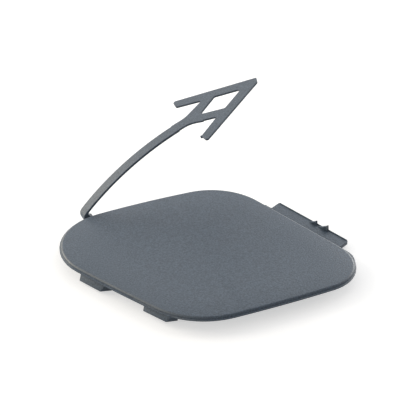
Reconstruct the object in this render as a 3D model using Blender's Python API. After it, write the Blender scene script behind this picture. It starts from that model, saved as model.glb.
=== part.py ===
"""Bumper tow hook cover, moulded in one piece.

A crowned plate stands on a rim and a grid of ribs. Two ramped clips hang under its left side, a tongue with two
saw teeth springs from its right side, and a strap rises from its back side and ends in a barbed arrow anchor.
Lengths are in metres. The origin is the middle of the plate on the plane that the rim and the ribs rest on,
X runs along the plate's near side, Y towards its back side and Z out of its face.
"""

from math import atan2, ceil, cos, pi, radians, sin, sqrt, tan

import bmesh
import bpy
from mathutils import Matrix, Vector

MM = 0.001

# Plate, seen from above: a leaning four-sided outline with bowed sides and rounded corners
NEAR_SIDE = 79.3 * MM
PLATE_DEPTH = 80.6 * MM
LEFT_LEAN = 35.6 * MM
RIGHT_LEAN = 24.7 * MM
LEFT_BOW = 1.15 * MM
NEAR_BOW = 1.85 * MM
RIGHT_BOW = 0.1 * MM
BACK_BOW = 2.4 * MM
LEFT_CORNER_RADIUS = 23.3 * MM
NEAR_CORNER_RADIUS = 27.8 * MM
RIGHT_CORNER_RADIUS = 17.4 * MM
BACK_CORNER_RADIUS = 24.5 * MM
CORNER_STEPS = 15
SIDE_STEPS = 9

# Plate, in section
PLATE_HEIGHT = 5.8 * MM
CROWN_RADIUS = 2500.0 * MM
FACE_FILLET = 0.8 * MM
FILLET_STEPS = 4
WALL_DROP = 0.85 * MM
LIP_OUT = 0.6 * MM
LIP_SLOPE = 0.15 * MM
LIP_BULGE = 1.0
LIP_BULGE_TURN = radians(-2.0)
LIP_BULGE_SPREAD = radians(19.0)
FLANGE_THICKNESS = 1.4 * MM
FLOOR_THICKNESS = 1.8 * MM
RIM_INSET = 5.6 * MM
RIM_THICKNESS = 1.6 * MM
RIM_DRAFT = 0.15 * MM
FACE_RINGS = 4
JOIN = 0.4 * MM
INSET = 0.15 * MM

# Ribs behind the plate
RIB_THICKNESS = 1.3 * MM
RIB_PITCH = 21.0 * MM
RIBS_EACH_SIDE = 1

# Clips under the left side, each as its distance from the near corner, its width, its overhang and its drop
CLIPS = (
    (16.5 * MM, 11.0 * MM, 0.75 * MM, 3.8 * MM),
    (48.5 * MM, 11.0 * MM, 1.15 * MM, 4.4 * MM),
)
CLIP_DEPTH = 4.4 * MM
CLIP_RAMP = 0.9 * MM
CLIP_FLARE = 2.0 * MM
CLIP_FACE_SLOPE = radians(50.0)
CLIP_EDGE = 0.25 * MM

# Tongue beyond the right side, measured from the back corner
TONGUE_START = 20.85 * MM
TONGUE_LENGTH = 38.1 * MM
TONGUE_REACH = 8.5 * MM
TONGUE_TAPER = 0.3 * MM
TONGUE_SKEW = radians(8.4)
TONGUE_DROP = 3.4 * MM
TONGUE_THICKNESS = 1.5 * MM
TONGUE_CORNER = 0.4 * MM
LEDGE_LENGTH = 3.2 * MM
LEDGE_REACH = 3.4 * MM
TONGUE_NECK = 1.2 * MM

# Saw teeth on the tongue, each as its distance from the tongue's start, its length and its height
TEETH = ((18.3 * MM, 3.3 * MM, 1.7 * MM), (23.1 * MM, 4.6 * MM, 2.4 * MM))
TOOTH_DEPTH = 1.4 * MM
TOOTH_STEPS = 6
TOOTH_BACK = 0.25 * MM
TOOTH_HOLLOW = 1.35

# Strap beyond the back side, measured from the left corner
STRAP_START = 26.75 * MM
STRAP_GAP = 1.44 * MM
STRAP_TURN = radians(-2.0)
STRAP_WIDTH = 4.9 * MM
STRAP_THICKNESS = 1.0 * MM
STRAP_RADIUS = 119.6 * MM
STRAP_STEPS = 26
STRAP_EDGE = 0.18 * MM
ELBOW_HEIGHT = 4.88 * MM
ELBOW_RISE = radians(48.7)
ELBOW_RADIUS = 3.2 * MM
STEM_PITCH = radians(23.0)
LEG_LEAN = radians(28.0)
LEG_BOTTOM = 0.5 * MM
GUSSET_START = 2.6 * MM
GUSSET_SLOPE = radians(53.5)
GUSSET_HEIGHT = 3.8 * MM
GUSSET_ROUND = 0.5 * MM
LEG_FOOT = 2.7 * MM
LUG_LENGTH = 2.1 * MM

# Arrow anchor at the strap's end, measured back from its tip
ANCHOR_REACH = 36.5 * MM
ANCHOR_THICKNESS = 0.8 * MM
ANCHOR_EDGE = 0.12 * MM
ANCHOR_SHIFT = 0.53 * MM
TIP_HALF_WIDTH = 1.2 * MM
TIP_SKEW = 1.1 * MM
BARB_LENGTH = 32.4 * MM
BARB_SPREAD = 17.5 * MM
BARB_END = 4.5 * MM
BARB_END_SKEW = 0.35 * MM
BARB_ROUND = 1.0 * MM
NOTCH_LENGTH = 23.0 * MM
NOTCH_SPREAD = 7.5 * MM
WEB_RUN = 4.9 * MM
WEB_STEP = 0.4 * MM
WAIST_RUN = 5.1 * MM
WAIST_RADIUS = 8.0 * MM
STEM_FAR_EDGE = 3.35 * MM
STEM_NEAR_EDGE = 1.6 * MM
STEM_RUN = 4.9 * MM
STEM_LAP = 1.5 * MM
EYE_START = 7.9 * MM
EYE_MIDDLE = 18.1 * MM
EYE_END = 27.4 * MM
EYE_HALF_WIDTH = 5.3 * MM
EYE_ROUND = 0.9 * MM
PIP_RADIUS = 0.5 * MM
PIP_TIP_RADIUS = 0.4 * MM
PIP_DROP = 1.0 * MM

ARC_STEP = radians(15.0)
PLASTIC_COLOUR = (0.14, 0.16, 0.19, 1.0)
PLASTIC_ROUGHNESS = 0.55
NODE_NAME = "tow_hook_cover"

# Sides in the order of the plate's corners
SIDES = ("left", "near", "right", "back")


def crown(x):
    """Drop of the arched face at a distance from the middle of the plate."""
    return sqrt(CROWN_RADIUS ** 2 - x ** 2) - CROWN_RADIUS


def arc(centre, start, end, steps):
    """Points from start to end round a centre, the short way."""
    first = atan2(start.y - centre.y, start.x - centre.x)
    last = atan2(end.y - centre.y, end.x - centre.x)
    turn = (last - first + pi) % (2 * pi) - pi
    radius = (start - centre).length
    angles = [first + turn * step / steps for step in range(steps + 1)]
    return [centre + radius * Vector((cos(angle), sin(angle))) for angle in angles]


def rounded(corners):
    """Points of a closed outline whose corners, given as x, y and radius, are rounded by arcs."""
    points = []
    for index, (x, y, radius) in enumerate(corners):
        corner = Vector((x, y))
        if radius == 0:
            points.append(corner)
            continue
        before = (Vector(corners[index - 1][:2]) - corner).normalized()
        after = (Vector(corners[(index + 1) % len(corners)][:2]) - corner).normalized()
        half = before.angle(after) / 2
        centre = corner + (before + after).normalized() * radius / sin(half)
        steps = max(2, ceil((pi - 2 * half) / ARC_STEP))
        tangent = radius / tan(half)
        points += arc(centre, corner + before * tangent, corner + after * tangent, steps)
    return points


def plate_corners():
    """Sharp corners of the outline, anticlockwise: left, near, right and back."""
    corners = [
        Vector((-LEFT_LEAN, PLATE_DEPTH)),
        Vector((0.0, 0.0)),
        Vector((NEAR_SIDE, 0.0)),
        Vector((NEAR_SIDE - RIGHT_LEAN, PLATE_DEPTH)),
    ]
    middle = sum(corners, Vector((0.0, 0.0))) / len(corners)
    return [corner - middle for corner in corners]


def bowed_side(start, end, bow):
    """Centre and radius of the arc that bows a side outwards between its corners."""
    chord = end - start
    outward = Vector((chord.y, -chord.x)).normalized()
    radius = (chord.length ** 2 / 4 + bow ** 2) / (2 * bow)
    return (start + end) / 2 + outward * (bow - radius), radius


def corner_centre(corner, side_before, side_after, radius):
    """Centre of the circle that rounds a corner, touching the two bowed sides from inside."""
    (first, first_radius), (second, second_radius) = side_before, side_after
    apart = (second - first).length
    reach = first_radius - radius
    along = (apart ** 2 + reach ** 2 - (second_radius - radius) ** 2) / (2 * apart)
    across = sqrt(reach ** 2 - along ** 2)
    ahead = (second - first) / apart
    foot = first + ahead * along
    sideways = Vector((-ahead.y, ahead.x)) * across
    return min(foot + sideways, foot - sideways, key=lambda centre: (centre - corner).length)


def plate_outline():
    """Pairs of a point on the plate's wall and its outward direction, anticlockwise from the left corner."""
    corners = plate_corners()
    bows = (LEFT_BOW, NEAR_BOW, RIGHT_BOW, BACK_BOW)
    radii = (LEFT_CORNER_RADIUS, NEAR_CORNER_RADIUS, RIGHT_CORNER_RADIUS, BACK_CORNER_RADIUS)
    sides = [bowed_side(corners[side], corners[(side + 1) % 4], bows[side]) for side in range(4)]
    centres = [corner_centre(corners[side], sides[side - 1], sides[side], radii[side]) for side in range(4)]
    outline = []
    for side in range(4):
        joins = []
        for bowed, centre in ((sides[side - 1], centres[side]), (sides[side], centres[side])):
            joins.append(bowed[0] + (centre - bowed[0]).normalized() * bowed[1])
        for point in arc(centres[side], joins[0], joins[1], CORNER_STEPS):
            outline.append((point, (point - centres[side]).normalized()))
        middle, radius = sides[side]
        end = middle + (centres[(side + 1) % 4] - middle).normalized() * radius
        for point in arc(middle, joins[1], end, SIDE_STEPS)[1:-1]:
            outline.append((point, (point - middle).normalized()))
    return outline


def side_frame(side, along):
    """Frame on the plate's wall: X clockwise along the side, Y outwards, at a distance from the side's end."""
    corners = plate_corners()
    number = SIDES.index(side)
    start = corners[(number + 1) % 4]
    chord = (corners[number] - start).normalized()
    outward = Vector((-chord.y, chord.x))
    points = [point for point, _ in plate_outline()]
    crossings = []
    for before, after in zip(points, points[1:] + points[:1]):
        first = (before - start).dot(chord)
        last = (after - start).dot(chord)
        if min(first, last) <= along < max(first, last):
            place = before.lerp(after, (along - first) / (last - first))
            crossings.append(((place - start).dot(outward), place, (before - after).normalized()))
    place, ahead = max(crossings, key=lambda crossing: crossing[0])[1:]
    return Matrix.Translation((place.x, place.y, 0.0)) @ Matrix.Rotation(atan2(ahead.y, ahead.x), 4, "Z")


def new_object(name, mesh, collection, frame=None):
    """Object that holds a mesh, placed by a frame."""
    thing = bpy.data.objects.new(name, mesh)
    collection.objects.link(thing)
    if frame:
        thing.matrix_world = frame
    return thing


def new_helper(name, mesh, frame=None):
    """Object that a Boolean joins to the plate or cuts with, left out of renders."""
    helper = new_object(name, mesh, bpy.data.collections["construction"], frame)
    helper.hide_render = True
    helper.display_type = "WIRE"
    return helper


def mesh_of(name, bm):
    """Mesh made from bmesh data, with its faces turned outwards."""
    bmesh.ops.recalc_face_normals(bm, faces=bm.faces)
    mesh = bpy.data.meshes.new(name)
    bm.to_mesh(mesh)
    bm.free()
    return mesh


def flat_piece(name, outlines, thickness, frame, edge=0.0):
    """Flat solid cut from a sheet, centred on its frame's XY plane, with its edges eased where edge is given."""
    curve = bpy.data.curves.new(name + "_outline", "CURVE")
    curve.dimensions = "2D"
    curve.fill_mode = "BOTH"
    curve.extrude = thickness / 2 - edge
    curve.bevel_depth = edge
    curve.bevel_resolution = 0
    curve.offset = -edge
    for outline in outlines:
        spline = curve.splines.new("POLY")
        spline.points.add(len(outline) - 1)
        for point, place in zip(spline.points, outline):
            point.co = (place.x, place.y, 0.0, 1.0)
        spline.use_cyclic_u = True
    source = bpy.data.objects.new(name + "_outline", curve)
    mesh = bpy.data.meshes.new_from_object(source)
    bpy.data.objects.remove(source)
    bpy.data.curves.remove(curve)
    bm = bmesh.new()
    bm.from_mesh(mesh)
    bmesh.ops.remove_doubles(bm, verts=bm.verts, dist=MM / 1000)
    bpy.data.meshes.remove(mesh)
    return new_helper(name, mesh_of(name, bm), frame)


def block(name, low, high, frame=None):
    """Box between two corners of a frame."""
    bm = bmesh.new()
    bmesh.ops.create_cube(bm, size=1.0)
    low = Vector(low)
    high = Vector(high)
    bmesh.ops.scale(bm, vec=high - low, verts=bm.verts)
    bmesh.ops.translate(bm, vec=(low + high) / 2, verts=bm.verts)
    return new_helper(name, mesh_of(name, bm), frame)


def boolean(body, piece, operation):
    """Boolean of a piece with a body."""
    modifier = body.modifiers.new(f"{operation.lower()} {piece.name}", "BOOLEAN")
    modifier.operation = operation
    modifier.solver = "EXACT"
    modifier.object = piece


def section_rings():
    """Rings over the plate, down its wall and round the rim to the middle of the recess.

    Each ring is its inset from the wall, its scale towards the middle, its height and whether that follows the crown.
    """
    rings = [(FACE_FILLET, share / FACE_RINGS, 0.0, True) for share in range(FACE_RINGS)]
    for step in range(FILLET_STEPS + 1):
        angle = pi / 2 * step / FILLET_STEPS
        rings.append((FACE_FILLET * (1 - sin(angle)), 1.0, -FACE_FILLET * (1 - cos(angle)), True))
    inner_foot = RIM_INSET + RIM_THICKNESS
    rings += [
        (0.0, 1.0, -WALL_DROP, True),
        (-LIP_OUT, 1.0, -WALL_DROP - LIP_SLOPE, True),
        (-LIP_OUT, 1.0, -FLANGE_THICKNESS, True),
        (RIM_INSET, 1.0, -FLANGE_THICKNESS, True),
        (RIM_INSET + RIM_DRAFT, 1.0, 0.0, False),
        (inner_foot - RIM_DRAFT, 1.0, 0.0, False),
        (inner_foot, 1.0, -FLOOR_THICKNESS, True),
    ]
    rings += [(inner_foot, share / FACE_RINGS, -FLOOR_THICKNESS, True) for share in range(FACE_RINGS - 1, -1, -1)]
    return rings


def lip_share(outward):
    """Width of the lip as a share of its plain width: it widens round the right corner."""
    offset = abs(atan2(outward.y, outward.x) - LIP_BULGE_TURN)
    if offset > LIP_BULGE_SPREAD:
        return 1.0
    return 1.0 + LIP_BULGE * (1 + cos(pi * offset / LIP_BULGE_SPREAD)) / 2


def make_plate(collection):
    """Crowned plate with its filleted wall, lip, flange and rim, as a skin over a stack of rings."""
    outline = plate_outline()
    bm = bmesh.new()
    rows = []
    for inset, scale, height, crowned in section_rings():
        spots = []
        for point, outward in outline:
            reach = inset * lip_share(outward) if inset < 0 else inset
            spots.append((point - outward * reach) * scale)
        if scale == 0:
            spots = spots[:1]
        row = []
        for spot in spots:
            level = PLATE_HEIGHT + crown(spot.x) + height if crowned else height
            row.append(bm.verts.new((spot.x, spot.y, level)))
        rows.append(row)
    for upper, lower in zip(rows, rows[1:]):
        for index in range(len(outline)):
            following = index + 1
            quad = [
                upper[index % len(upper)],
                lower[index % len(lower)],
                lower[following % len(lower)],
                upper[following % len(upper)],
            ]
            bm.faces.new(list(dict.fromkeys(quad)))
    return new_object(NODE_NAME, mesh_of(NODE_NAME, bm), collection)


def make_ribs():
    """Grid of ribs, trimmed to the middle of the rim, with its feet on the rest plane."""
    top = PLATE_HEIGHT - FLOOR_THICKNESS + JOIN
    grids = []
    for name, across in (("ribs_along", False), ("ribs_across", True)):
        bm = bmesh.new()
        for number in range(-RIBS_EACH_SIDE, RIBS_EACH_SIDE + 1):
            shift = number * RIB_PITCH
            made = bmesh.ops.create_cube(bm, size=1.0)["verts"]
            size = (RIB_THICKNESS, 2 * PLATE_DEPTH, top) if across else (2 * NEAR_SIDE, RIB_THICKNESS, top)
            place = (shift, 0.0, top / 2) if across else (0.0, shift, top / 2)
            bmesh.ops.scale(bm, vec=size, verts=made)
            bmesh.ops.translate(bm, vec=place, verts=made)
        grids.append(new_helper(name, mesh_of(name, bm)))
    inset = RIM_INSET + RIM_THICKNESS / 2
    field_outline = [point - outward * inset for point, outward in plate_outline()]
    field = flat_piece("rib_field", [field_outline], 2 * PLATE_HEIGHT, Matrix.Identity(4))
    boolean(grids[0], grids[1], "UNION")
    boolean(grids[0], field, "INTERSECT")
    return grids[0]


def make_clip(number, along, width, overhang, drop):
    """Ramped clip: its front face leans out to a snap edge, its foot deepens inwards and its sides flare."""
    frame = side_frame("left", along)
    surface = PLATE_HEIGHT + crown(frame.translation.x)
    front_low = surface - drop
    rise = surface - FLANGE_THICKNESS + JOIN - front_low
    setback = rise / tan(CLIP_FACE_SLOPE)
    back = overhang - CLIP_DEPTH

    def corner(side, front, upper):
        """Place of one corner, each given by the sign of its side."""
        if not front:
            height = front_low + rise if upper else front_low - CLIP_RAMP
            return Vector((side * (width / 2 + CLIP_FLARE), back, height))
        if upper:
            flare = CLIP_FLARE * setback / CLIP_DEPTH
            return Vector((side * (width / 2 + flare), overhang - setback, front_low + rise))
        return Vector((side * width / 2, overhang, front_low))

    bm = bmesh.new()
    bmesh.ops.create_cube(bm, size=1.0)
    for vert in bm.verts:
        vert.co = corner(1 if vert.co.x > 0 else -1, vert.co.y > 0, vert.co.z > 0)
    bmesh.ops.bevel(bm, geom=bm.edges[:], offset=CLIP_EDGE, segments=2, profile=0.5, affect="EDGES")
    return new_helper(f"clip_{number}", mesh_of(f"clip_{number}", bm), frame)


def tongue_frame():
    """Frame at the tongue's start on the right side, on the rest plane."""
    middle = side_frame("right", TONGUE_START + TONGUE_LENGTH / 2)
    return middle @ Matrix.Translation((-TONGUE_LENGTH / 2, 0.0, 0.0))


def make_tongue():
    """Skewed flat tongue with a short ledge at its start, springing from the rim."""
    lean = tan(TONGUE_SKEW)
    root = -(RIM_INSET + RIM_THICKNESS / 2)
    far_reach = TONGUE_REACH + TONGUE_TAPER / 2
    near_reach = TONGUE_REACH - TONGUE_TAPER / 2
    end = TONGUE_LENGTH + (near_reach - root) * lean
    outline = rounded([
        (-LEDGE_LENGTH + LEDGE_REACH * lean, root, 0),
        (end, root, 0),
        (TONGUE_LENGTH, near_reach, TONGUE_CORNER),
        (0.0, far_reach, TONGUE_CORNER),
        ((far_reach - LEDGE_REACH) * lean, LEDGE_REACH, TONGUE_CORNER),
        (-LEDGE_LENGTH + LEDGE_REACH * lean, LEDGE_REACH, 0),
    ])
    level = PLATE_HEIGHT - TONGUE_DROP - TONGUE_THICKNESS / 2
    frame = tongue_frame() @ Matrix.Translation((0.0, 0.0, level))
    return flat_piece("tongue", [outline], TONGUE_THICKNESS, frame)


def make_tongue_neck():
    """Block that carries the tongue down from the flange, between the rim and the plate's wall."""
    lean = tan(TONGUE_SKEW)
    root = -(RIM_INSET + RIM_THICKNESS / 2)
    frame = tongue_frame()
    surface = PLATE_HEIGHT + crown(frame.translation.x)
    foot = PLATE_HEIGHT - TONGUE_DROP - TONGUE_THICKNESS
    start = -LEDGE_LENGTH + LEDGE_REACH * lean + INSET
    low = (start, root + INSET, foot + INSET)
    high = (TONGUE_LENGTH, -TONGUE_NECK, surface - FLANGE_THICKNESS + JOIN)
    return block("tongue_neck", low, high, frame)


def make_tooth(number, along, length, height):
    """Saw tooth on the tongue's outer edge: a hollow ramp that rises to a steep back."""
    ramp = []
    for step in range(TOOTH_STEPS + 1):
        share = step / TOOTH_STEPS
        ramp.append(Vector((length * share, height * share ** TOOTH_HOLLOW)))
    foot = -TONGUE_THICKNESS / 2
    outline = [Vector((0.0, foot))] + ramp + [Vector((length + TOOTH_BACK, 0.0)), Vector((length + TOOTH_BACK, foot))]
    edge = TONGUE_REACH + TONGUE_TAPER / 2 - TONGUE_TAPER * (along + length / 2) / TONGUE_LENGTH
    top = PLATE_HEIGHT - TONGUE_DROP
    place = Matrix.Translation((along, edge - TOOTH_DEPTH / 2 - INSET, top))
    frame = tongue_frame() @ place @ Matrix.Rotation(pi / 2, 4, "X")
    return flat_piece(f"tooth_{number}", [outline], TOOTH_DEPTH, frame)


def strap_frame():
    """Frame at the strap's elbow on the rest plane: X along the strap, Y across it."""
    wall = side_frame("back", STRAP_START).translation
    stand_off = STRAP_GAP + STRAP_WIDTH / 2
    return Matrix.Translation((wall.x, wall.y + stand_off, 0.0)) @ Matrix.Rotation(STRAP_TURN, 4, "Z")


def strap_centre():
    """Centre of the strap's long arc, in the strap's side view."""
    radius = STRAP_RADIUS + STRAP_THICKNESS / 2
    return Vector((radius * sin(ELBOW_RISE), ELBOW_HEIGHT - radius * cos(ELBOW_RISE)))


def on_strap(radius, slope):
    """Point of the long arc where its slope has the given value, in the strap's side view."""
    return strap_centre() + radius * Vector((-sin(slope), cos(slope)))


def arc_slope(radius, along):
    """Slope of the long arc at a distance along the strap's side view."""
    offset = strap_centre().x - along
    return atan2(offset, sqrt(radius ** 2 - offset ** 2))


def waist_length():
    """Distance from the anchor's tip back to the waist of its stem."""
    return NOTCH_LENGTH + WEB_RUN + WAIST_RUN


def make_strap():
    """Strap in side view: leaning leg with a gusset, round elbow, long arc and the start of the stem."""
    outer = STRAP_RADIUS + STRAP_THICKNESS / 2
    inner = STRAP_RADIUS - STRAP_THICKNESS / 2
    end_slope = STEM_PITCH + (waist_length() + STEM_RUN - ANCHOR_REACH) / STRAP_RADIUS
    inner_start_slope = arc_slope(inner, GUSSET_START)
    shares = [step / STRAP_STEPS for step in range(STRAP_STEPS + 1)]
    outer_arc = [on_strap(outer, ELBOW_RISE + (end_slope - ELBOW_RISE) * share) for share in shares]
    inner_arc = [on_strap(inner, end_slope + (inner_start_slope - end_slope) * share) for share in shares]
    leg_front = (ELBOW_HEIGHT - LEG_BOTTOM) * tan(LEG_LEAN)
    notch = inner_arc[-1]
    gusset_foot = notch.x + (notch.y - GUSSET_HEIGHT) / tan(GUSSET_SLOPE)
    corners = [(leg_front, LEG_BOTTOM, GUSSET_ROUND / 2), (outer_arc[0].x, outer_arc[0].y, ELBOW_RADIUS)]
    # The elbow's and the notch's own rounding take the place of the points next to them
    corners += [(point.x, point.y, 0) for point in outer_arc[2:] + inner_arc[:-2]]
    corners += [
        (notch.x, notch.y, GUSSET_ROUND),
        (gusset_foot, GUSSET_HEIGHT, GUSSET_ROUND),
        (leg_front + LEG_FOOT, LEG_BOTTOM, GUSSET_ROUND / 2),
    ]
    frame = strap_frame() @ Matrix.Rotation(pi / 2, 4, "X")
    return flat_piece("strap", [rounded(corners)], STRAP_WIDTH, frame, STRAP_EDGE)


def make_lug():
    """Bar that carries the strap's leg from the rim, under the flange."""
    frame = strap_frame()
    surface = PLATE_HEIGHT + crown(frame.translation.x)
    front = (ELBOW_HEIGHT - LEG_BOTTOM) * tan(LEG_LEAN) + INSET
    back = -(STRAP_GAP + STRAP_WIDTH / 2 + RIM_INSET + RIM_THICKNESS / 2)
    low = (front, back, LEG_BOTTOM + INSET)
    high = (front + LUG_LENGTH, 0.0, surface - FLANGE_THICKNESS + JOIN)
    return block("strap_lug", low, high, frame)


def anchor_outline():
    """Arrow with two swept barbs on a stem, its tip at the origin and its stem towards minus X."""
    barb = [
        (-BARB_LENGTH, BARB_SPREAD, BARB_ROUND),
        (-BARB_LENGTH - BARB_END_SKEW, BARB_SPREAD - BARB_END, BARB_ROUND),
        (-NOTCH_LENGTH, NOTCH_SPREAD, BARB_ROUND / 2),
    ]
    waist = -waist_length()
    stem_end = waist - STEM_RUN - STEM_LAP
    far = barb + [(waist, STEM_FAR_EDGE, WAIST_RADIUS), (stem_end, STEM_FAR_EDGE, 0)]
    heel = (NOTCH_SPREAD - STEM_NEAR_EDGE) / (WEB_RUN + WAIST_RUN)
    step = -NOTCH_LENGTH - WEB_RUN
    web = NOTCH_SPREAD - WEB_RUN * heel
    near = barb + [
        (step, web, 0),
        (step - WEB_STEP / 2, web + WEB_STEP, 0),
        (waist, STEM_NEAR_EDGE, WAIST_RADIUS),
        (stem_end, STEM_NEAR_EDGE, 0),
    ]
    skewed = TIP_HALF_WIDTH + TIP_SKEW * (BARB_SPREAD - TIP_HALF_WIDTH) / BARB_LENGTH
    far.insert(0, (0.0, TIP_HALF_WIDTH, BARB_ROUND / 2))
    near.insert(0, (-TIP_SKEW, skewed, BARB_ROUND / 2))
    return rounded(far + [(x, -y, radius) for x, y, radius in reversed(near)])


def anchor_frame():
    """Frame at the anchor's tip, in the plane of the strap's end: X ahead, Y across."""
    end = on_strap(STRAP_RADIUS, STEM_PITCH) + Vector((cos(STEM_PITCH), sin(STEM_PITCH))) * ANCHOR_REACH
    place = Matrix.Translation((end.x, -ANCHOR_SHIFT, end.y))
    return strap_frame() @ place @ Matrix.Rotation(-STEM_PITCH, 4, "Y")


def make_anchor():
    """Arrow anchor with its rhombic eye, in the plane of the strap's end."""
    eye = rounded([
        (-EYE_START, 0.0, EYE_ROUND),
        (-EYE_MIDDLE, EYE_HALF_WIDTH, EYE_ROUND),
        (-EYE_END, 0.0, EYE_ROUND),
        (-EYE_MIDDLE, -EYE_HALF_WIDTH, EYE_ROUND),
    ])
    return flat_piece("anchor", [anchor_outline(), eye], ANCHOR_THICKNESS, anchor_frame(), ANCHOR_EDGE)


def make_pip():
    """Short pip under the inner end of the near barb."""
    bm = bmesh.new()
    bmesh.ops.create_cone(
        bm, cap_ends=True, segments=12, radius1=PIP_TIP_RADIUS, radius2=PIP_RADIUS, depth=PIP_DROP
    )
    inner_end = BARB_SPREAD - BARB_END + PIP_RADIUS
    place = Matrix.Translation((PIP_RADIUS - BARB_LENGTH, -inner_end, -PIP_DROP / 2))
    return new_helper("barb_pip", mesh_of("barb_pip", bm), anchor_frame() @ place)


def plastic():
    """Matt grey moulded plastic."""
    material = bpy.data.materials.new("grey_plastic")
    material.use_nodes = True
    shader = material.node_tree.nodes["Principled BSDF"]
    shader.inputs["Base Color"].default_value = PLASTIC_COLOUR
    shader.inputs["Roughness"].default_value = PLASTIC_ROUGHNESS
    shader.inputs["Metallic"].default_value = 0.0
    return material


def main():
    """Build the cover in a scene of its own."""
    for thing in list(bpy.data.objects):
        bpy.data.objects.remove(thing)
    cover = bpy.data.collections.new("bumper_tow_hook_cover")
    helpers = bpy.data.collections.new("construction")
    helpers.hide_render = True
    for collection in (cover, helpers):
        bpy.context.scene.collection.children.link(collection)
    plate = make_plate(cover)
    pieces = [make_ribs(), make_tongue(), make_tongue_neck(), make_lug(), make_strap(), make_anchor(), make_pip()]
    pieces += [make_clip(number, *place) for number, place in enumerate(CLIPS, 1)]
    pieces += [make_tooth(number, *tooth) for number, tooth in enumerate(TEETH, 1)]
    for piece in pieces:
        boolean(plate, piece, "UNION")
    plate.data.materials.append(plastic())


main()
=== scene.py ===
"""Bumper tow hook cover on a pale table: grey moulded plastic, soft studio light and the product camera.

The plate, clips, tongue, strap and arrow anchor are one moulding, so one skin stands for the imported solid.
A thin bead on the tongue and a small pip on the anchor are the only forms added to it.
"""

from math import atan2, cos, pi, radians, sin

import bmesh
import bpy
from bpy.props import FloatProperty, FloatVectorProperty, PointerProperty
from bpy.types import Operator, Panel, PropertyGroup
from mathutils import Matrix, Vector


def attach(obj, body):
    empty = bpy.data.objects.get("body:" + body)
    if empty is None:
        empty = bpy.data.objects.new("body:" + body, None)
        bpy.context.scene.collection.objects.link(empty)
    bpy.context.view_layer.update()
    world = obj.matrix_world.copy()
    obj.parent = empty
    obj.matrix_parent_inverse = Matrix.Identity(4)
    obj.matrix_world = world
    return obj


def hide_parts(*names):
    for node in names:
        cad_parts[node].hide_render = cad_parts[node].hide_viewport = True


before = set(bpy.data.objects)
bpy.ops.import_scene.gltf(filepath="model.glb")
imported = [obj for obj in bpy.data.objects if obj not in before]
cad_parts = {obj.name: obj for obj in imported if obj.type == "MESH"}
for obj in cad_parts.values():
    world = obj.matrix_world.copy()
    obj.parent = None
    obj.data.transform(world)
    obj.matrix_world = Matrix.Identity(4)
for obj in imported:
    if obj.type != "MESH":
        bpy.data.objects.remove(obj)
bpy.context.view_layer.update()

bl_info = {
    "name": "Tow Hook Cover",
    "version": (1, 0, 0),
    "blender": (4, 5, 0),
    "location": "View3D > Sidebar > Tow Hook Cover",
    "description": "Moulded bumper tow hook cover with its studio",
    "category": "Object",
}

COVER_NODE = "tow_hook_cover"
PLASTIC = "moulded_plastic"
# Attribute that marks the fillet as worn and carries its painted highlight
WEAR_AND_HIGHLIGHT_LAYER = "edge_wear_and_highlight"
MM = 0.001
PHOTO_SIDE = 416

# Widest gap, in metres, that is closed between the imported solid's loose triangles
MERGE_DISTANCE = 1e-6

# The crowned face and the fillet round it, and the least tilt at which a point of the fillet is worn and
# gets its painted highlight
FACE_HEIGHT = 5.8 * MM
CROWN_RADIUS = 2500.0 * MM
FACE_FILLET = 0.8 * MM
FLAT_TILT = 0.3

# The ends of the tongue's outer edge, seen from above, and the height of its top face
TONGUE_START = Vector((44.63, 22.48)) * MM
TONGUE_END = Vector((55.28, -13.26)) * MM
TONGUE_TOP = 2.4 * MM

# The pip at the inner end of the anchor's near barb, with the radii of its lower and upper ends
PIP_MIDDLE = Vector((12.93, 30.02, 37.1)) * MM
PIP_AXIS = Vector((-0.35, 0.03, 0.936))
PIP_LENGTH = 0.9 * MM
PIP_RADII = (0.42 * MM, 0.48 * MM)

# How far the grain, the pebbles and the flow clouds spread the plastic's colour, and the pebbles the
# fillet's worn colour and painted highlight
GRAIN_SPREAD = (0.8, 1.2)
PEBBLE_SPREAD = (0.2, 1.8)
CLOUD_SPREAD = (0.94, 1.06)
WEAR_AND_HIGHLIGHT_SPREAD = (0.5, 1.5)

# Flow clouds to the metre, and how far they spread the roughness to each side
CLOUD_SCALE = 45.0
SHEEN_SPREAD = 0.04


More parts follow.
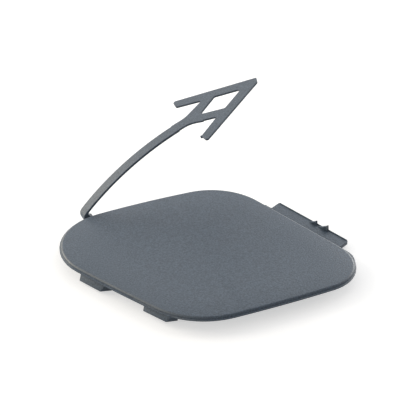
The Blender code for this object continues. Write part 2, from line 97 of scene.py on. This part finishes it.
class PlasticSettings(PropertyGroup):
    """Colour, sheen and grain of the moulded plastic."""

    colour: FloatVectorProperty(
        name="Colour",
        description="Colour of the plastic",
        subtype="COLOR",
        size=3,
        min=0.0,
        max=1.0,
        default=(0.06, 0.084, 0.1154),
    )
    roughness: FloatProperty(
        name="Roughness",
        description="Roughness of the moulded surface",
        min=0.0,
        max=1.0,
        default=0.5,
    )
    grain_size: FloatProperty(
        name="Grain size",
        description="Width of the fine spark-eroded grain",
        unit="LENGTH",
        min=0.00005,
        max=0.002,
        default=0.00022,
    )
    pebble_size: FloatProperty(
        name="Pebble size",
        description="Width of the pebbles that the grain gathers into",
        unit="LENGTH",
        min=0.0001,
        max=0.005,
        default=0.00055,
    )
    grain_depth: FloatProperty(
        name="Grain depth",
        description="Depth of the fine grain",
        unit="LENGTH",
        min=0.0,
        max=0.0002,
        default=0.000008,
    )
    pebble_depth: FloatProperty(
        name="Pebble depth",
        description="Depth of the pebbles",
        unit="LENGTH",
        min=0.0,
        max=0.0005,
        default=0.0001,
    )
    # Lighter colour along the fillet: partly worn plastic, partly a painted highlight
    worn_and_highlight_colour: FloatVectorProperty(
        name="Worn and highlight colour",
        description="Colour of the plastic where handling has rubbed it, and of the highlight painted along the fillet",
        subtype="COLOR",
        size=3,
        min=0.0,
        max=1.0,
        default=(0.165, 0.18, 0.19),
    )
    # How strongly the fillet takes that colour, as worn plastic and as a painted highlight
    wear_and_highlight_share: FloatProperty(
        name="Worn and highlight share",
        description="How far the most rubbed and highlighted places turn to the worn and highlight colour",
        subtype="FACTOR",
        min=0.0,
        max=1.0,
        default=0.8,
    )
    wear_polish: FloatProperty(
        name="Wear polish",
        description="How much smoother the rubbed fillet is than the face",
        min=0.0,
        max=0.5,
        default=0.12,
    )
    smooth_angle: FloatProperty(
        name="Smooth angle",
        description="Steepest step between two faces that is still shaded as one curved surface",
        subtype="ANGLE",
        min=0.0,
        max=1.57,
        default=radians(32.0),
    )


class BeadSettings(PropertyGroup):
    """Thin raised bead along the tongue's outer edge."""

    height: FloatProperty(
        name="Height",
        description="Height of the bead above the tongue",
        unit="LENGTH",
        min=0.0001,
        max=0.001,
        default=0.00035,
    )
    width: FloatProperty(
        name="Width",
        description="Width of the bead",
        unit="LENGTH",
        min=0.0001,
        max=0.002,
        default=0.0003,
    )
    inset: FloatProperty(
        name="Inset",
        description="Distance from the bead to the tongue's edge and ends",
        unit="LENGTH",
        min=0.0,
        max=0.002,
        default=0.0001,
    )
    sunk: FloatProperty(
        name="Sunk",
        description="Depth that the bead's foot runs into the tongue",
        unit="LENGTH",
        min=0.0,
        max=0.001,
        default=0.0002,
    )
    bevel: FloatProperty(
        name="Bevel",
        description="Width of the bead's bevelled edges",
        unit="LENGTH",
        min=0.0,
        max=0.0002,
        default=0.00006,
    )


class StudioSettings(PropertyGroup):
    """Table, lamps and camera."""

    table_colour: FloatVectorProperty(
        name="Table colour",
        description="Colour of the table and backdrop",
        subtype="COLOR",
        size=3,
        min=0.0,
        max=1.0,
        default=(0.9, 0.9, 0.9),
    )
    table_width: FloatProperty(
        name="Table width",
        description="Width of the table that the cover lies on",
        unit="LENGTH",
        min=0.5,
        max=20.0,
        default=6.0,
    )
    aim: FloatVectorProperty(
        name="Aim",
        description="Point on the table that the camera looks at",
        subtype="TRANSLATION",
        size=3,
        default=(0.0182, 0.03527, 0.0),
    )
    turn: FloatProperty(
        name="Camera turn",
        description="How far the camera stands to the left of the cover's near side",
        subtype="ANGLE",
        default=radians(25.6),
    )
    elevation: FloatProperty(
        name="Camera elevation",
        description="Height of the camera above the table, as an angle",
        subtype="ANGLE",
        default=radians(32.0),
    )
    distance: FloatProperty(
        name="Camera distance",
        description="Distance from the camera to the point it looks at",
        unit="LENGTH",
        min=0.1,
        max=5.0,
        default=0.5719,
    )
    focal_pixels: FloatProperty(
        name="Focal length in pixels",
        description="Focal length of the lens, in pixels of the photograph",
        min=100.0,
        max=10000.0,
        default=1400.0,
    )
    lamp_level: FloatProperty(
        name="Lamp level",
        description="Level of all the softboxes together",
        min=0.0,
        max=10.0,
        default=1.0,
    )
    fill_level: FloatProperty(
        name="Fill level",
        description="Level of the even light from all round",
        min=0.0,
        max=5.0,
        default=0.32,
    )
    shadow_share: FloatProperty(
        name="Shadow share",
        description="How much of the table's brightness a full shadow takes away",
        subtype="FACTOR",
        min=0.0,
        max=1.0,
        default=0.73,
    )
    table_glow: FloatProperty(
        name="Table glow",
        description="Brightness that the table keeps in a full shadow",
        min=0.0,
        max=1.0,
        default=0.546,
    )


NEUTRAL = (1.0, 1.0, 1.0)
WARM = (1.11, 1.03, 0.89)

# Softboxes, each with its place, width, height, radiance and colour
SOFTBOXES = {
    "back_softbox": ((0.0, 1.1, 0.7), 1.0, 0.7, 1.7, NEUTRAL),
    "back_left_softbox": ((-1.6, 1.8, 0.9), 1.6, 1.2, 6.4, WARM),
    "left_softbox": ((-2.2, 0.0, 0.9), 1.6, 1.2, 1.5, WARM),
    "low_right_softbox": ((1.6, 0.9, 0.3), 1.2, 0.5, 7.5, NEUTRAL),
    "right_softbox": ((1.1, 0.0, 0.35), 0.8, 0.5, 1.5, NEUTRAL),
    "near_right_softbox": ((0.4, 0.3, 0.45), 0.35, 0.35, 1.6, NEUTRAL),
}

# Rays that see the white backdrop
BACKDROP_RAYS = ("Is Camera Ray", "Is Glossy Ray", "Is Transmission Ray")

# Roughness of the table, and its brightness in the light that it throws back at the cover
TABLE_ROUGHNESS = 0.9
TABLE_BOUNCE = 0.3


def plastic_settings():
    """Settings of the plastic."""
    return bpy.context.scene.cover_plastic


def bead_settings():
    """Settings of the tongue's bead."""
    return bpy.context.scene.cover_bead


def studio_settings():
    """Settings of the studio."""
    return bpy.context.scene.cover_studio


def shader_of(material):
    """Node tree and surface shader of a material."""
    material.use_nodes = True
    tree = material.node_tree
    return tree, tree.nodes["Principled BSDF"]


def noise(tree, scale, detail, roughness):
    """Noise texture on Object coordinates, with its scale in cycles per metre."""
    place = tree.nodes.new("ShaderNodeTexCoord")
    texture = tree.nodes.new("ShaderNodeTexNoise")
    texture.inputs["Scale"].default_value = scale
    texture.inputs["Detail"].default_value = detail
    texture.inputs["Roughness"].default_value = roughness
    tree.links.new(place.outputs["Object"], texture.inputs["Vector"])
    return texture


def between(tree, value, low, high):
    """Value from 0 to 1 spread between two limits."""
    spread = tree.nodes.new("ShaderNodeMapRange")
    spread.inputs["To Min"].default_value = low
    spread.inputs["To Max"].default_value = high
    tree.links.new(value, spread.inputs["Value"])
    return spread.outputs["Result"]


def combined(tree, operation, first, second):
    """Product, sum or larger one of two values, as the operation says."""
    both = tree.nodes.new("ShaderNodeMath")
    both.operation = operation
    tree.links.new(first, both.inputs[0])
    tree.links.new(second, both.inputs[1])
    return both.outputs["Value"]


def relief(tree, height, depth):
    """Bump of a given depth."""
    bump = tree.nodes.new("ShaderNodeBump")
    bump.inputs["Strength"].default_value = 1.0
    bump.inputs["Distance"].default_value = depth
    tree.links.new(height, bump.inputs["Height"])
    return bump


def backdrop_share(tree):
    """One for the rays that see the white backdrop, and zero for the rest."""
    path = tree.nodes.new("ShaderNodeLightPath")
    share = path.outputs[BACKDROP_RAYS[0]]
    for ray in BACKDROP_RAYS[1:]:
        share = combined(tree, "MAXIMUM", share, path.outputs[ray])
    return share


def moulded_plastic():
    """Matt grey plastic with a pebbled grain, faint flow clouds, an uneven sheen, and a rubbed fillet whose
    lighter colour is also a painted highlight.
    """
    settings = plastic_settings()
    material = bpy.data.materials.new(PLASTIC)
    tree, shader = shader_of(material)
    grain = noise(tree, 1.0 / settings.grain_size, detail=2.0, roughness=0.55)
    pebbles = noise(tree, 1.0 / settings.pebble_size, detail=1.0, roughness=0.5)
    clouds = noise(tree, CLOUD_SCALE, detail=3.0, roughness=0.5)

    tint = tree.nodes.new("ShaderNodeMix")
    tint.data_type = "RGBA"
    tint.blend_type = "MULTIPLY"
    tint.inputs["Factor"].default_value = 1.0
    tint.inputs["A"].default_value = (*settings.colour, 1.0)
    speck = between(tree, grain.outputs["Fac"], *GRAIN_SPREAD)
    mottle = between(tree, pebbles.outputs["Fac"], *PEBBLE_SPREAD)
    cloud = between(tree, clouds.outputs["Fac"], *CLOUD_SPREAD)
    level = combined(tree, "MULTIPLY", combined(tree, "MULTIPLY", speck, mottle), cloud)
    tree.links.new(level, tint.inputs["B"])

    # Lighter colour along the fillet: rubbed plastic and a painted highlight, fading on the near side
    wear_and_highlight_node = tree.nodes.new("ShaderNodeAttribute")
    wear_and_highlight_node.attribute_name = WEAR_AND_HIGHLIGHT_LAYER
    patches = between(tree, pebbles.outputs["Fac"], *WEAR_AND_HIGHLIGHT_SPREAD)
    rubbed = combined(tree, "MULTIPLY", wear_and_highlight_node.outputs["Fac"], patches)
    worn = tree.nodes.new("ShaderNodeMix")
    worn.data_type = "RGBA"
    worn.inputs["B"].default_value = (*settings.worn_and_highlight_colour, 1.0)
    tree.links.new(between(tree, rubbed, 0.0, settings.wear_and_highlight_share), worn.inputs["Factor"])
    tree.links.new(tint.outputs["Result"], worn.inputs["A"])
    tree.links.new(worn.outputs["Result"], shader.inputs["Base Color"])

    least, most = settings.roughness - SHEEN_SPREAD, settings.roughness + SHEEN_SPREAD
    sheen = between(tree, clouds.outputs["Fac"], least, most)
    smoother = between(tree, rubbed, 0.0, -settings.wear_polish)
    tree.links.new(combined(tree, "ADD", sheen, smoother), shader.inputs["Roughness"])

    coarse = relief(tree, pebbles.outputs["Fac"], settings.pebble_depth)
    fine = relief(tree, grain.outputs["Fac"], settings.grain_depth)
    tree.links.new(coarse.outputs["Normal"], fine.inputs["Normal"])
    tree.links.new(fine.outputs["Normal"], shader.inputs["Normal"])
    return material


def merged_copy(node):
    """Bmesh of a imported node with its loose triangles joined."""
    bm = bmesh.new()
    bm.from_mesh(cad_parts[node].data)
    bmesh.ops.remove_doubles(bm, verts=bm.verts, dist=MERGE_DISTANCE)
    return bm


def wear_and_highlight_fillet(bm):
    """Mark how worn and how highlighted each point of the face's fillet is painted: most halfway round it,
    least on the near side, where the painted highlight fades because less light falls there.
    """
    layer = bm.verts.layers.float.new(WEAR_AND_HIGHLIGHT_LAYER)
    bm.normal_update()
    for vert in bm.verts:
        face_height = FACE_HEIGHT - vert.co.xy.length_squared / (2.0 * CROWN_RADIUS)
        if abs(face_height - vert.co.z) < FACE_FILLET:
            outward = vert.normal.xy
            tilt = 2.0 * vert.normal.z * outward.length
            if tilt > FLAT_TILT:
                nearward = max(0.0, -outward.normalized().y)
                # Painted highlight: it fades towards the near side, which the light reaches least
                vert[layer] = (tilt - FLAT_TILT) / (1.0 - FLAT_TILT) * (1.0 - nearward ** 2)


def shade(bm, angle):
    """Shade every face smooth and mark the edges that turn more than an angle as sharp."""
    for face in bm.faces:
        face.smooth = True
    for edge in bm.edges:
        edge.smooth = edge.is_manifold and edge.calc_face_angle() < angle


def tongue_bead():
    """Bmesh of a thin bevelled bead that runs along the tongue's outer edge."""
    settings = bead_settings()
    run = TONGUE_END - TONGUE_START
    ahead = run.normalized()
    inward = Vector((ahead.y, -ahead.x))
    middle = (TONGUE_START + TONGUE_END) / 2 + inward * (settings.inset + settings.width / 2)
    length = run.length - 2 * settings.inset
    tall = settings.height + settings.sunk
    centre = (middle.x, middle.y, TONGUE_TOP - settings.sunk + tall / 2)
    turn = Matrix.Rotation(atan2(ahead.y, ahead.x), 4, "Z")
    bm = bmesh.new()
    size = Matrix.Diagonal((length, settings.width, tall, 1.0))
    bmesh.ops.create_cube(bm, size=1.0, matrix=Matrix.Translation(centre) @ turn @ size)
    bmesh.ops.bevel(
        bm, geom=bm.edges[:], affect="EDGES", offset=settings.bevel, segments=2, profile=0.5, material=-1
    )
    return bm


def anchor_pip():
    """Bmesh of the short round pip at the inner end of the anchor's near barb, with the bead's bevel."""
    bm = bmesh.new()
    lean = PIP_AXIS.to_track_quat("Z", "Y").to_matrix().to_4x4()
    bmesh.ops.create_cone(
        bm, cap_ends=True, segments=20, radius1=PIP_RADII[0], radius2=PIP_RADII[1], depth=PIP_LENGTH,
        matrix=Matrix.Translation(PIP_MIDDLE) @ lean,
    )
    rims = [edge for edge in bm.edges if any(len(face.verts) > 4 for face in edge.link_faces)]
    bmesh.ops.bevel(
        bm, geom=rims, affect="EDGES", offset=bead_settings().bevel, segments=2, profile=0.5, material=-1
    )
    return bm


def moulded_object(context, name, bm):
    """Object in the moulded plastic that rides on the cover's body."""
    shade(bm, plastic_settings().smooth_angle)
    mesh = bpy.data.meshes.new(name)
    bm.to_mesh(mesh)
    bm.free()
    thing = bpy.data.objects.new(name, mesh)
    context.scene.collection.objects.link(thing)
    mesh.materials.append(bpy.data.materials.get(PLASTIC) or moulded_plastic())
    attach(thing, "root")
    return thing


class COVER_OT_skin(Operator):
    """Dress the moulding: plate, clips, tongue, strap and arrow anchor in one skin"""

    bl_idname = "tow_cover.skin"
    bl_label = "Moulded skin"

    def execute(self, context):
        bm = merged_copy(COVER_NODE)
        wear_and_highlight_fillet(bm)
        skin = moulded_object(context, "moulded_cover", bm)
        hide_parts(COVER_NODE)
        return {"FINISHED"}


class COVER_OT_bead(Operator):
    """Run the thin raised bead along the tongue's outer edge"""

    bl_idname = "tow_cover.bead"
    bl_label = "Tongue bead"

    def execute(self, context):
        moulded_object(context, "tongue_bead", tongue_bead())
        return {"FINISHED"}


class COVER_OT_pip(Operator):
    """Put the small pip on the inner end of the anchor's near barb"""

    bl_idname = "tow_cover.pip"
    bl_label = "Anchor pip"

    def execute(self, context):
        moulded_object(context, "anchor_pip", anchor_pip())
        return {"FINISHED"}


def table_material():
    """White to the camera and in reflections, with a soft shadow under the cover."""
    material = bpy.data.materials.new("pale_table")
    tree, shader = shader_of(material)
    settings = studio_settings()
    shade_colour = [channel * settings.shadow_share for channel in settings.table_colour]
    shader.inputs["Base Color"].default_value = (*shade_colour, 1.0)
    shader.inputs["Roughness"].default_value = TABLE_ROUGHNESS
    glow = tree.nodes.new("ShaderNodeEmission")
    glow.inputs["Strength"].default_value = settings.table_glow
    both = tree.nodes.new("ShaderNodeAddShader")
    pick = tree.nodes.new("ShaderNodeMixShader")
    dim = tree.nodes.new("ShaderNodeBsdfDiffuse")
    dim.inputs["Color"].default_value = (TABLE_BOUNCE, TABLE_BOUNCE, TABLE_BOUNCE, 1.0)
    tree.links.new(shader.outputs["BSDF"], both.inputs[0])
    tree.links.new(glow.outputs["Emission"], both.inputs[1])
    tree.links.new(backdrop_share(tree), pick.inputs["Fac"])
    tree.links.new(dim.outputs["BSDF"], pick.inputs[1])
    tree.links.new(both.outputs["Shader"], pick.inputs[2])
    tree.links.new(pick.outputs["Shader"], tree.nodes["Material Output"].inputs["Surface"])
    return material


def make_table(scene):
    """Table top at the height that the cover rests on."""
    width = studio_settings().table_width
    bm = bmesh.new()
    bmesh.ops.create_grid(bm, x_segments=1, y_segments=1, size=width / 2)
    mesh = bpy.data.meshes.new("table")
    bm.to_mesh(mesh)
    bm.free()
    table = bpy.data.objects.new("table", mesh)
    scene.collection.objects.link(table)
    table.data.materials.append(table_material())


def make_world(scene):
    """White backdrop for the camera and reflections, with a lower even fill for everything else."""
    world = bpy.data.worlds.new("studio_backdrop")
    scene.world = world
    world.use_nodes = True
    tree = world.node_tree
    even = tree.nodes["Background"]
    even.inputs["Color"].default_value = (1.0, 1.0, 1.0, 1.0)
    even.inputs["Strength"].default_value = studio_settings().fill_level
    white = tree.nodes.new("ShaderNodeBackground")
    white.inputs["Strength"].default_value = 1.0
    pick = tree.nodes.new("ShaderNodeMixShader")
    tree.links.new(backdrop_share(tree), pick.inputs["Fac"])
    tree.links.new(even.outputs["Background"], pick.inputs[1])
    tree.links.new(white.outputs["Background"], pick.inputs[2])
    tree.links.new(pick.outputs["Shader"], tree.nodes["World Output"].inputs["Surface"])


def make_softbox(scene, name, place, width, height, level, colour):
    """Softbox that faces the cover, with its radiance as its level."""
    lamp = bpy.data.lights.new(name, "AREA")
    lamp.shape = "RECTANGLE"
    lamp.size = width
    lamp.size_y = height
    lamp.energy = level * pi * width * height
    lamp.color = colour
    box = bpy.data.objects.new(name, lamp)
    scene.collection.objects.link(box)
    box.location = place
    box.rotation_euler = (-Vector(place)).to_track_quat("-Z", "Y").to_euler()
    box.visible_camera = False


def make_camera(scene):
    """Camera at the photograph's viewing angle."""
    settings = studio_settings()
    lens = bpy.data.cameras.new("product_camera")
    lens.lens = lens.sensor_width * settings.focal_pixels / PHOTO_SIDE
    lens.clip_start = 0.01
    camera = bpy.data.objects.new("product_camera", lens)
    scene.collection.objects.link(camera)
    ahead = Vector((
        sin(settings.turn) * cos(settings.elevation),
        cos(settings.turn) * cos(settings.elevation),
        -sin(settings.elevation),
    ))
    camera.location = Vector(settings.aim) - ahead * settings.distance
    camera.rotation_euler = ahead.to_track_quat("-Z", "Y").to_euler()
    scene.camera = camera


class COVER_OT_stage(Operator):
    """Set up the table, backdrop, softboxes and camera"""

    bl_idname = "tow_cover.stage"
    bl_label = "Studio"

    def execute(self, context):
        scene = context.scene
        settings = studio_settings()
        scene.view_settings.view_transform = "Standard"
        make_table(scene)
        make_world(scene)
        for name, (place, width, height, radiance, colour) in SOFTBOXES.items():
            make_softbox(scene, name, place, width, height, radiance * settings.lamp_level, colour)
        make_camera(scene)
        return {"FINISHED"}


class COVER_PT_panel(Panel):
    """Sidebar panel that lists the steps and their settings"""

    bl_label = "Tow Hook Cover"
    bl_idname = "COVER_PT_panel"
    bl_space_type = "VIEW_3D"
    bl_region_type = "UI"
    bl_category = "Tow Hook Cover"

    def draw(self, context):
        layout = self.layout
        for settings, operator in (
            (plastic_settings(), COVER_OT_skin),
            (bead_settings(), COVER_OT_bead),
            (studio_settings(), COVER_OT_stage),
        ):
            box = layout.box()
            for name in settings.__annotations__:
                box.prop(settings, name)
            box.operator(operator.bl_idname)
        layout.operator(COVER_OT_pip.bl_idname)


CLASSES = (
    PlasticSettings,
    BeadSettings,
    StudioSettings,
    COVER_OT_skin,
    COVER_OT_bead,
    COVER_OT_pip,
    COVER_OT_stage,
    COVER_PT_panel,
)


def register():
    """Register the classes and hang the settings on the scene."""
    for cls in CLASSES:
        bpy.utils.register_class(cls)
    bpy.types.Scene.cover_plastic = PointerProperty(type=PlasticSettings)
    bpy.types.Scene.cover_bead = PointerProperty(type=BeadSettings)
    bpy.types.Scene.cover_studio = PointerProperty(type=StudioSettings)


def unregister():
    """Take the settings off the scene and unregister the classes."""
    del bpy.types.Scene.cover_studio
    del bpy.types.Scene.cover_bead
    del bpy.types.Scene.cover_plastic
    for cls in reversed(CLASSES):
        bpy.utils.unregister_class(cls)


def main():
    """Build the dressed cover and its studio."""
    register()
    bpy.ops.tow_cover.skin()
    bpy.ops.tow_cover.bead()
    bpy.ops.tow_cover.pip()
    bpy.ops.tow_cover.stage()


if __name__ == "__main__":
    main()
